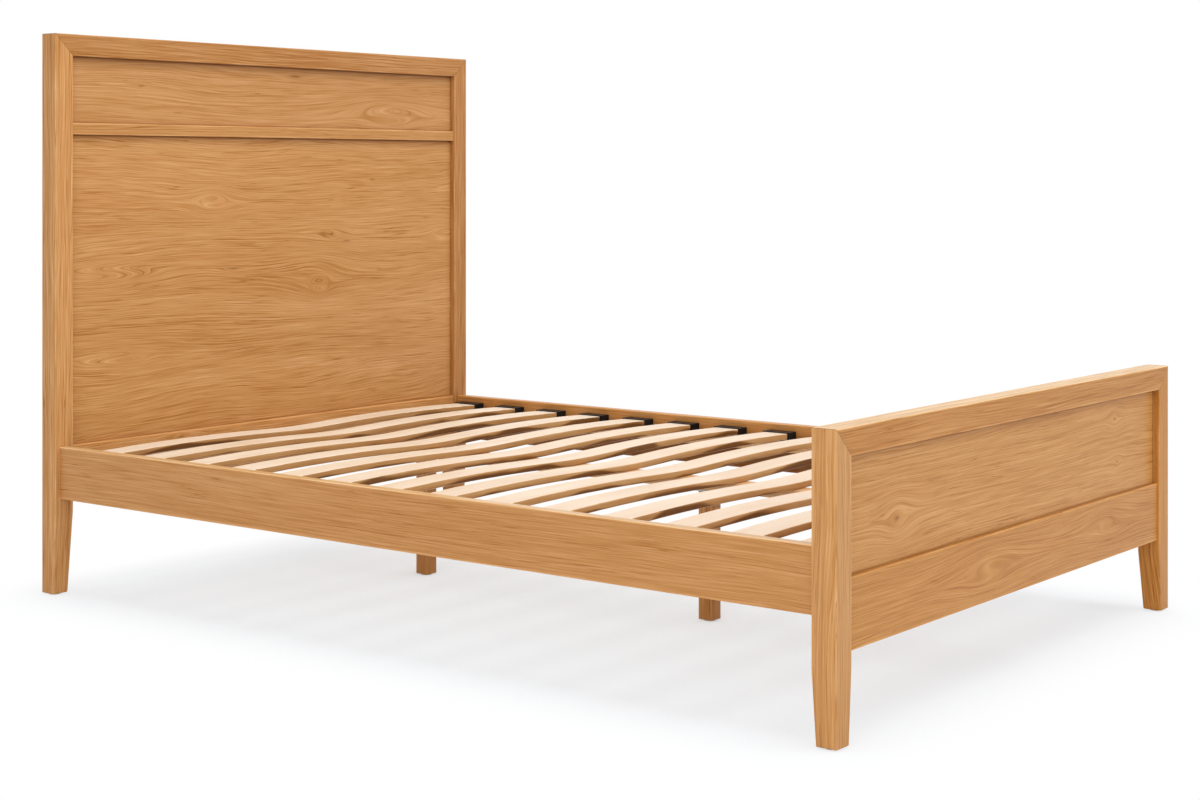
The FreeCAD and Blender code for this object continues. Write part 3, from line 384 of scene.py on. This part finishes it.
def oak(node, seed, turn, figure=1.0, knots=(), seams=(), layers=(), corners=(), shades=(),
        tint=(1, 1, 1), top=None, streaks=1.0):
    """Dresses a piece in oak with grain of its own.

    Figure is how far the grain bends, and streaks is its contrast.
    Knots are (along, across, reach, stretch, strength, core) in metres: the grain parts round each
    one, and closes into an eye where the strength is over 1.
    Seams are (point, normal) of dark glue lines.
    Layers are (axis, place, tone) of the wood beyond a glued joint.
    Corners are (axis, place, reach, tone) of painted shade where a panel darkens towards its frame.
    Shades are ((axis, place, reach), (axis, place, reach), tone) of painted shade round a line.
    Tint is the board's own colour, and top is painted light on a top face that catches the light.
    """
    material, g = new_material(f"oak_{node}")
    axes = object_axes(g)
    along, across, depth = (axes[axis] for axis in turn)
    bent, core_dark = part_round_knots(g, along, across, knots)
    grain = g.add("ShaderNodeGroup", node_tree=oak_group)
    for socket, source in zip(grain.inputs, (along, bent, depth, seed, figure, streaks)):
        g.feed(socket, source)
    # Painted highlight on the edges, then layers, glue lines and painted shades.
    factor = painted_edge_highlights(g, axes, node, turn[0])
    factor = lines_and_shades(g, axes, factor, layers, corners, seams, shades)
    if any(knot[-1] for knot in knots):
        factor = g.times(factor, g.minus(1.0, g.times(core_dark, CORE_DARKENING)))
    colour = g.stain(grain.outputs["Color"], factor, tint)
    # Painted light on the top face.
    if top:
        colour = paint_top_face_light(g, axes, node, colour, top)
    roughness = g.smooth(grain.outputs["Tone"], *LACQUER_TONES, *LACQUER_ROUGHNESS)
    surface = {
        "Base Color": colour,
        "Roughness": roughness,
        "IOR": WOOD_IOR,
        "Specular IOR Level": LACQUER_SPECULAR,
    }
    finish_material(g, surface, bumped(g, grain.outputs["Height"], OAK_RELIEF))
    dress(material, node)


# The bed's own levels, read from the frame.

half_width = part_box("headboard_top_rail")[1].x
head_low, head_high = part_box("headboard_top_rail")
foot_low, foot_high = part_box("footboard_top_rail")
post_side = head_high.z - head_low.z
post_inner = half_width - post_side
strip_low, strip_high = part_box("headboard_strip")
head_rail_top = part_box("headboard_lower_rail")[1].z
foot_rail_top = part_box("footboard_lower_rail")[1].z
rail_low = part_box("side_rail_right")[0]


def mitre_seam(side, top):
    """Glue line of the mitre at a top corner: the plane from the inner corner up to the outer one."""
    slope = math.sqrt(0.5)
    return (side * half_width, 0, top), (side * -slope, 0, slope)


def seam_pair(top):
    return [mitre_seam(side, top) for side in (-1, 1)]


# Reach and tone of the painted shade where a sunk panel meets its frame, deepest under the top.
TOP_SHADE_LINE = (0.007, 0.46)
TOP_SHADE_FADE = (0.030, 0.84)
BOTTOM_SHADE_LINE = (0.006, 0.72)
SIDE_SHADE_LINE = (0.007, 0.72)


def panel_painted_shades(top, bottom):
    return (
        (2, top, *TOP_SHADE_LINE),
        (2, top, *TOP_SHADE_FADE),
        (2, bottom, *BOTTOM_SHADE_LINE),
        (0, post_inner, *SIDE_SHADE_LINE),
        (0, -post_inner, *SIDE_SHADE_LINE),
    )


# Painted shade: the inner face of a side rail is darker below the slats.
RAIL_SHADE_DEPTH = 0.012
RAIL_SHADE_HEIGHT = 0.118
RAIL_SHADE_TONE = 0.42


def rail_shade(side):
    inner_face = (0, side * rail_low.x, RAIL_SHADE_DEPTH)
    underside = (2, rail_low.z, RAIL_SHADE_HEIGHT)
    return ((inner_face, underside, RAIL_SHADE_TONE),)


# Knots and eyes of each board, at about the places where the photographed board has them.

MAIN_KNOTS = (
    (0.150, 0.690, 0.020, 1.8, 1.7, 0.0),
    (0.140, 0.715, 0.055, 2.2, 0.9, 0.0),
    (-0.228, 0.918, 0.030, 2.6, 1.35, 0.0),
    (-0.560, 0.752, 0.022, 8.0, 1.8, 0.0),
    (0.188, 0.826, 0.020, 4.5, 1.2, 0.0030),
    (0.252, 0.806, 0.010, 4.5, 1.0, 0.0026),
    (-0.160, 0.747, 0.010, 6.0, 1.2, 0.0030),
    (0.351, 0.972, 0.010, 3.0, 1.0, 0.0022),
    (0.660, 0.812, 0.024, 4.0, 1.7, 0.0),
    (-0.540, 0.545, 0.020, 7.0, 1.7, 0.0),
)
UPPER_KNOTS = (
    (0.06, 1.246, 0.010, 6.0, 1.3, 0.0030),
    (0.42, 1.150, 0.040, 4.0, 1.5, 0.0),
    (-0.46, 1.205, 0.009, 4.0, 1.0, 0.0022),
)
HEAD_RAIL_KNOTS = ((-0.342, 0.334, 0.016, 3.5, 1.3, 0.0028),)
FOOT_KNOTS = (
    (-0.492, 0.369, 0.040, 1.7, 1.08, 0.0045),
    (0.466, 0.457, 0.026, 1.7, 1.05, 0.0034),
    (0.478, 0.362, 0.014, 1.7, 1.0, 0.0024),
)
FOOT_RAIL_KNOTS = (
    (-0.14, 0.222, 0.046, 4.0, 1.12, 0.0),
    (0.40, 0.236, 0.034, 3.5, 1.10, 0.0),
)

oak(
    "headboard_main_panel",
    seed=1.0,
    turn=ALONG_X,
    figure=1.0,
    knots=MAIN_KNOTS,
    corners=panel_painted_shades(strip_low.z, head_rail_top),
    tint=(0.98, 1.055, 1.285),
    streaks=0.88,
)
oak(
    "headboard_upper_panel",
    seed=2.3,
    turn=ALONG_X,
    figure=0.8,
    knots=UPPER_KNOTS,
    corners=panel_painted_shades(head_low.z, strip_high.z),
    tint=(0.935, 1.005, 1.275),
    streaks=0.7,
)
oak("headboard_strip", seed=3.1, turn=ALONG_X, figure=0.25, tint=(0.92, 0.975, 1.17), streaks=0.75)
oak(
    "headboard_top_rail",
    seed=4.7,
    turn=ALONG_X,
    figure=0.35,
    seams=seam_pair(head_high.z),
    tint=(0.79, 0.78, 0.85),
)
oak(
    "headboard_lower_rail",
    seed=5.9,
    turn=ALONG_X,
    figure=0.7,
    knots=HEAD_RAIL_KNOTS,
    tint=(1.02, 1.04, 1.2),
)
oak(
    "footboard_panel",
    seed=7.2,
    turn=ALONG_X,
    figure=0.5,
    knots=FOOT_KNOTS,
    corners=panel_painted_shades(foot_low.z, foot_rail_top),
    tint=(1.075, 1.13, 1.19),
    streaks=0.68,
)

# Painted light: the top of the footboard's top rail is paler to this depth, by this tone.
FOOT_TOP_LIGHT_DEPTH = 0.0025
FOOT_TOP_LIGHT_TONE = 1.15
oak(
    "footboard_top_rail",
    seed=8.4,
    turn=ALONG_X,
    figure=0.35,
    seams=seam_pair(foot_high.z),
    layers=((2, foot_high.z - FOOT_TOP_LIGHT_DEPTH, FOOT_TOP_LIGHT_TONE),),
    tint=(0.985, 0.967, 0.915),
    top=(1.06, 1.42, 2.3),
    streaks=0.8,
)
oak(
    "footboard_lower_rail",
    seed=9.6,
    turn=ALONG_X,
    figure=0.7,
    knots=FOOT_RAIL_KNOTS,
    tint=(0.98, 0.94, 0.79),
    streaks=0.78,
)
# Painted light on its top face, and painted shade on its inner face below the slats.
oak(
    "side_rail_left",
    seed=10.8,
    turn=ALONG_Y,
    figure=0.3,
    shades=rail_shade(-1),
    tint=(0.97, 1.005, 1.21),
    top=(1.22, 1.56, 2.15),
    streaks=0.68,
)
# Painted shade on its inner face below the slats.
oak(
    "side_rail_right",
    seed=12.1,
    turn=ALONG_Y,
    figure=0.3,
    shades=rail_shade(1),
    tint=(1.02, 1.05, 1.15),
    streaks=0.75,
)

# A post is glued from two layers, which meet at this share of its depth.
POST_JOINT = 0.42
POST_JOINT_TONE = 0.93
POST_FIGURE = 0.45


def post_oak(node, seed, side, rail_box, tint, streaks):
    """Upright grain in two glued layers, with the mitre's line at the top rail's level."""
    low, high = rail_box
    oak(
        node,
        seed,
        UPRIGHT_FACING_Y,
        POST_FIGURE,
        seams=[mitre_seam(side, high.z)],
        layers=((1, low.y + post_side * POST_JOINT, POST_JOINT_TONE),),
        tint=tint,
        streaks=streaks,
    )


head_box = (head_low, head_high)
foot_box = (foot_low, foot_high)
post_oak("headboard_post_left", 13.1, -1, head_box, (1.035, 1.115, 1.40), 1.0)
post_oak("headboard_post_right", 14.9, 1, head_box, (0.815, 0.80, 0.88), 1.0)
post_oak("footboard_post_left", 16.1, -1, foot_box, (1.115, 1.24, 1.66), 0.65)
post_oak("footboard_post_right", 17.9, 1, foot_box, (0.98, 0.93, 0.75), 0.8)
for name, seed in (("centre_leg_head", 21.0), ("centre_leg_foot", 22.5)):
    oak(name, seed, UPRIGHT_FACING_Y, figure=0.3, tint=(0.88, 0.88, 0.95))


# Pale layered wood of the slats, ledgers and centre rail: close straight grain. A slat's long edges
# show its glued layers, which are browner than its faces and follow its bow.

SLAT_THICK = 0.015
DIP_RADIUS = 2.6
slat_low, slat_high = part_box("slat_01")
slat_bow = slat_high.z - slat_low.z - SLAT_THICK
crest_place = slat_high.x / 2 + slat_bow * (DIP_RADIUS + SLAT_THICK) / slat_high.x
crest_radius = (crest_place**2 + slat_bow**2) / (2 * slat_bow) - DIP_RADIUS
dip_reach = crest_place * DIP_RADIUS / (DIP_RADIUS + crest_radius)

# Paces of the grain, and the shares of the last three in the tone.
PALE_SEED_STEP = 5.3
PALE_DEPTH_SLANT = 0.8
PALE_WANDER = (1.8, 9.0)
PALE_WANDER_SIZE = 0.02
PALE_BROAD = (2.0, 22.0)
PALE_LINES = (3.0, 260.0)
PALE_CLOUDS = (7.0, 12.0)
PALE_SHARES = (0.4, 0.35, 0.35)
PALE_TONES = (0.22, 0.5, 0.78)
PALE_SPECULAR = 0.12
PALE_RELIEF = 0.0002

# Layers of a slat's edge. They pale upwards, and are darker in patches, mostly near the underside:
# painted shade. The noises differ from one another by what is added to the slat's seed.
LAYER_LINES = (5.0, 420.0)
LAYER_CLOUDS = (6.0, 30.0)
EDGE_SHADE_PATCHES = (4.5, 16.0)
SHADE_PATCH_DETAIL = 1.5
LINE_SEED = 5.0
CLOUD_SEED = 8.0
SHADE_PATCH_SEED = 3.0
LAYER_SHARES = (0.32, 0.55, 0.6)
LAYER_MEAN = 0.34
SHADE_PATCH_RISE = 0.24
SHADE_PATCH_RANGE = (-0.02, 0.10)
SHADE_PATCH_TONE = 0.33
EDGE_BLUR = (0.0014, 0.0005)
# Painted highlight along the rims of a slat's faces.
RIM_HIGHLIGHT_REACH = (0.006, 0.003)
RIM_HIGHLIGHT_TONE = 0.06


def bow_height(g, x):
    """Height of a slat's bow above its dip at a place across the bed."""
    side = g.math("ABSOLUTE", x)
    dip = g.times(g.times(side, side), 0.5 / DIP_RADIUS)
    off_crest = g.minus(side, crest_place)
    crest = g.plus(slat_bow, g.times(g.times(off_crest, off_crest), -0.5 / crest_radius))
    past_dip = g.math("GREATER_THAN", side, dip_reach)
    return g.plus(dip, g.times(past_dip, g.minus(crest, dip)))


def layered_edges(g, axes, start, seed, slat, colour, edge_colours):
    """Painted highlights on the rims of a slat's faces, and its glued layers, with painted shade, on
    its long edges.
    """
    low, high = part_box(slat)
    level = g.minus(axes[2], bow_height(g, axes[0]))
    up = g.times(g.minus(level, low.z), 1 / SLAT_THICK)
    line = g.grain(LAYER_LINES, start, level, seed + LINE_SEED)
    cloud = g.grain(LAYER_CLOUDS, start, level, seed + CLOUD_SEED)
    shade_patch = g.grain(EDGE_SHADE_PATCHES, start, level, seed + SHADE_PATCH_SEED, SHADE_PATCH_DETAIL)
    # The layers pale upwards: painted shade towards the underside.
    parts = [g.times(part, share) for part, share in zip((up, line, cloud), LAYER_SHARES)]
    edge_colour = g.ramp(g.plus(LAYER_MEAN, *parts), PALE_TONES, edge_colours)
    # Painted shade: darker patches, more of them near the underside.
    shade_patch_rise = g.plus(shade_patch, g.times(up, SHADE_PATCH_RISE))
    edge_colour = g.stain(edge_colour, g.smooth(shade_patch_rise, *SHADE_PATCH_RANGE, SHADE_PATCH_TONE, 1.0))
    off_middle = g.apart(axes[1], (low.y + high.y) / 2)
    half = (high.y - low.y) / 2
    # Painted highlight on the rims.
    rim_start, rim_end = (half - reach for reach in RIM_HIGHLIGHT_REACH)
    rim_highlight = g.times(g.smooth(off_middle, rim_start, rim_end), RIM_HIGHLIGHT_TONE)
    edge_start, edge_end = (half - blur for blur in EDGE_BLUR)
    on_edge = g.smooth(off_middle, edge_start, edge_end)
    mix = g.add("ShaderNodeMix", {"Factor": on_edge}, data_type="RGBA")
    g.feed(mix.inputs[6], g.shade(colour, g.plus(1.0, rim_highlight)))
    g.feed(mix.inputs[7], edge_colour)
    return mix.outputs[2]


def pale_wood(name, seed, turn, colours, roughness, slat=None, edge_colours=None):
    material, g = new_material(name)
    axes = object_axes(g)
    along, across, depth = (axes[axis] for axis in turn)
    start = g.plus(along, seed * PALE_SEED_STEP)
    cut = g.plus(across, g.times(depth, PALE_DEPTH_SLANT))
    flow = g.plus(cut, g.times(g.grain(PALE_WANDER, start, cut, seed), PALE_WANDER_SIZE))
    broad, line, cloud = (
        g.grain(pace, start, flow, seed) for pace in (PALE_BROAD, PALE_LINES, PALE_CLOUDS)
    )
    parts = [g.times(part, share) for part, share in zip((broad, line, cloud), PALE_SHARES)]
    colour = g.ramp(g.plus(0.5, *parts), PALE_TONES, colours)
    if slat:
        colour = layered_edges(g, axes, start, seed, slat, colour, edge_colours)
    surface = {
        "Base Color": colour,
        "Roughness": roughness,
        "IOR": WOOD_IOR,
        "Specular IOR Level": PALE_SPECULAR,
    }
    finish_material(g, surface, bumped(g, line, PALE_RELIEF))
    return material


def tinted(colours, share, gain):
    """Colours raised by a share of the gain in each channel."""
    return [tuple(part * (1 + share * more) for part, more in zip(colour, gain)) for colour in colours]


CROSSWISE_TOP = (0, 1, 2)
LENGTHWISE_TOP = (1, 0, 2)
SLAT_COLOURS = ((0.65, 0.46, 0.305), (0.745, 0.578, 0.43), (0.805, 0.668, 0.53))
SLAT_EDGE_COLOURS = ((0.40, 0.195, 0.066), (0.54, 0.285, 0.108), (0.66, 0.40, 0.185))
LEDGER_COLOURS = ((0.50, 0.27, 0.11), (0.62, 0.36, 0.17), (0.70, 0.44, 0.23))
SLAT_ROUGHNESS = 0.42
LEDGER_ROUGHNESS = 0.45
DOWEL_ROUGHNESS = 0.6
FIRST_SLAT_SEED = 0.4
SLAT_SEED_STEP = 1.7
FIRST_LEDGER_SEED = 31.0
DOWEL_SEED = 40.0
# Painted light and shade: the slats nearest the headboard are paler on top, with darker edges,
# by this share of a colour.
PAINTED_LIGHT_SLATS = 9
PAINTED_LIGHT_GAIN = (0.16, 0.26, 0.32)
PAINTED_SHADE_EDGE_GAIN = (-0.22, -0.26, -0.30)

slat_names = sorted(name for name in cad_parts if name[5:].isdigit() and name.startswith("slat_"))
for number, name in enumerate(slat_names):
    # Painted light on the tops and painted shade on the edges of the slats near the headboard.
    painted_light_and_shade = max(0.0, 1 - number / PAINTED_LIGHT_SLATS)
    wood = pale_wood(
        f"wood_{name}",
        SLAT_SEED_STEP * number + FIRST_SLAT_SEED,
        CROSSWISE_TOP,
        tinted(SLAT_COLOURS, painted_light_and_shade, PAINTED_LIGHT_GAIN),
        SLAT_ROUGHNESS,
        slat=name,
        edge_colours=tinted(SLAT_EDGE_COLOURS, painted_light_and_shade, PAINTED_SHADE_EDGE_GAIN),
    )
    dress(wood, name)
for number, name in enumerate(("ledger_batten_left", "ledger_batten_right", "centre_rail")):
    seed = FIRST_LEDGER_SEED + number
    dress(pale_wood(f"wood_{name}", seed, LENGTHWISE_TOP, LEDGER_COLOURS, LEDGER_ROUGHNESS), name)
dowel_wood = pale_wood("wood_dowels", DOWEL_SEED, ALONG_X, SLAT_COLOURS, DOWEL_ROUGHNESS)
dress(dowel_wood, "headboard_dowels", "footboard_dowels")


# Black moulded plastic, zinc-plated steel and natural nylon. Each drifts between two colours, by
# noise with so many cycles per metre.

CLOUD_TONES = (0.3, 0.7)
CLOUD_RANGE = (-0.2, 0.2)
SHEEN_ROUGHNESS = (0.30, 0.42)
PLASTIC_PEBBLES = 900.0
PLASTIC_SMEARS = 35.0
PLASTIC_IOR = 1.5
PLASTIC_SPECULAR = 0.12
PLASTIC_RELIEF = 0.00006
ZINC_SPANGLES = 160.0
ZINC_ROUGHNESS = (0.28, 0.42)
NYLON_CLOUDS = 60.0
NYLON_ROUGHNESS = 0.5
NYLON_RELIEF = 0.0001


def black_plastic():
    material, g = new_material("black_plastic")
    place = object_place(g)
    pebble = g.noise(place, 2.0, 0.6, PLASTIC_PEBBLES)
    smear = g.noise(place, 2.0, 0.5, PLASTIC_SMEARS)
    colours = ((0.006, 0.006, 0.007), (0.012, 0.012, 0.013))
    surface = {
        "Base Color": g.ramp(g.plus(0.5, smear), CLOUD_TONES, colours),
        "Roughness": g.smooth(smear, *CLOUD_RANGE, *SHEEN_ROUGHNESS),
        "IOR": PLASTIC_IOR,
        "Specular IOR Level": PLASTIC_SPECULAR,
    }
    finish_material(g, surface, bumped(g, pebble, PLASTIC_RELIEF))
    return material


def zinc_steel():
    material, g = new_material("zinc_steel")
    spangle = g.noise(object_place(g), 3.0, 0.6, ZINC_SPANGLES)
    colours = ((0.46, 0.46, 0.45), (0.66, 0.66, 0.64))
    surface = {
        "Base Color": g.ramp(g.plus(0.5, spangle), CLOUD_TONES, colours),
        "Roughness": g.smooth(spangle, *CLOUD_RANGE, *ZINC_ROUGHNESS),
        "Metallic": 1.0,
    }
    finish_material(g, surface)
    return material


def nylon():
    material, g = new_material("nylon")
    cloud = g.noise(object_place(g), 2.0, 0.5, NYLON_CLOUDS)
    colours = ((0.66, 0.64, 0.58), (0.76, 0.75, 0.70))
    colour = g.ramp(g.plus(0.5, cloud), CLOUD_TONES, colours)
    surface = {"Base Color": colour, "Roughness": NYLON_ROUGHNESS}
    finish_material(g, surface, bumped(g, cloud, NYLON_RELIEF))
    return material


STEEL_PIECES = (
    "rail_hook_plates",
    "post_receiver_plates",
    "plate_screws",
    "batten_screws",
    "centre_bracket_head",
    "centre_bracket_foot",
    "centre_rail_screws",
    "leg_hanger_bolts",
    "leg_mount_plates",
)
dress(black_plastic(), "slat_caps_left", "slat_caps_right")
dress(zinc_steel(), *STEEL_PIECES)
dress(nylon(), "leg_glides")


# Floor: a wide pale sheet, plain grey to the light that falls on it. Straight to the camera it is
# mixed with white. Half of its own shade is left under the bed, which keeps the soft shadow there,
# and none of it beyond the shadow. Its colour to the camera takes out the warmth that the oak
# throws on it.

FLOOR_REACH = 40.0
FLOOR_GREY = 0.875
FLOOR_SEEN = (0.84, 0.91, 0.98)
FLOOR_WHITENING = 0.50
SHADOW_HALF = (0.62, 0.95)
SHADOW_FADE = 0.32


def build_floor():
    mesh = bpy.data.meshes.new("floor")
    corners = [(-1, -1), (1, -1), (1, 1), (-1, 1)]
    mesh.from_pydata([(x * FLOOR_REACH, y * FLOOR_REACH, 0) for x, y in corners], [], [(0, 1, 2, 3)])
    floor = bpy.data.objects.new("floor", mesh)
    scene.collection.objects.link(floor)
    material, g = new_material("floor")
    rays = g.add("ShaderNodeLightPath").outputs
    channels = [g.smooth(rays["Is Camera Ray"], 0.0, 1.0, FLOOR_GREY, seen) for seen in FLOOR_SEEN]
    matt = g.add("ShaderNodeBsdfDiffuse", {"Color": g.vector(*channels)})
    white = g.add("ShaderNodeEmission", {"Color": (1, 1, 1, 1), "Strength": 1.0})
    x, y, _ = object_axes(g)
    beyond = []
    for place, half in zip((x, y), SHADOW_HALF):
        beyond.append(g.math("MAXIMUM", g.minus(g.math("ABSOLUTE", place), half), 0.0))
    whitening = g.smooth(g.length(*beyond), 0.0, SHADOW_FADE, FLOOR_WHITENING, 1.0)
    share = g.times(rays["Is Camera Ray"], whitening)
    mixed = g.add("ShaderNodeMixShader", {0: share, 1: matt.outputs[0], 2: white.outputs[0]})
    g.add("ShaderNodeOutputMaterial", {"Surface": mixed.outputs[0]})
    mesh.materials.append(material)


build_floor()


# Light: an even studio from all round, with three broad lamps that aren't mirrored in the lacquer.
# Each lamp is its name, its place, the point it faces, its width in metres and its power in watts.

SKY_STRENGTH = 0.74
LAMPS = (
    ("overhead", (0.0, -0.6, 3.6), (0, 0, 0.3), 3.0, 62),
    ("front_right", (1.6, -4.2, 2.4), (0, 0.6, 0.6), 2.2, 24),
    ("left", (-4.4, -1.8, 2.2), (0, 0, 0.4), 2.6, 44),
)


def build_world():
    """Sky that lights the bed evenly, and that is plain white where it is seen or mirrored."""
    world = bpy.data.worlds.new("studio")
    scene.world = world
    world.use_nodes = True
    world.node_tree.nodes.clear()
    g = Graph(world.node_tree)
    rays = g.add("ShaderNodeLightPath").outputs
    seen = g.plus(rays["Is Camera Ray"], rays["Is Glossy Ray"], rays["Is Transmission Ray"])
    shown = g.math("MINIMUM", seen, 1.0)
    strength = g.smooth(shown, 0.0, 1.0, SKY_STRENGTH, 1.0)
    sky = g.add("ShaderNodeBackground", {"Color": (1, 1, 1, 1), "Strength": strength})
    g.add("ShaderNodeOutputWorld", {"Surface": sky.outputs[0]})


def build_lamp(name, place, target, width, power):
    data = bpy.data.lights.new(name, "AREA")
    data.shape = "DISK"
    data.size = width
    data.energy = power
    light = bpy.data.objects.new(name, data)
    scene.collection.objects.link(light)
    light.location = place
    aim = Vector(target) - Vector(place)
    light.rotation_euler = aim.to_track_quat("-Z", "Y").to_euler()
    light.visible_camera = False
    light.visible_glossy = False


build_world()
for lamp in LAMPS:
    build_lamp(*lamp)

scene.view_settings.view_transform = "Standard"
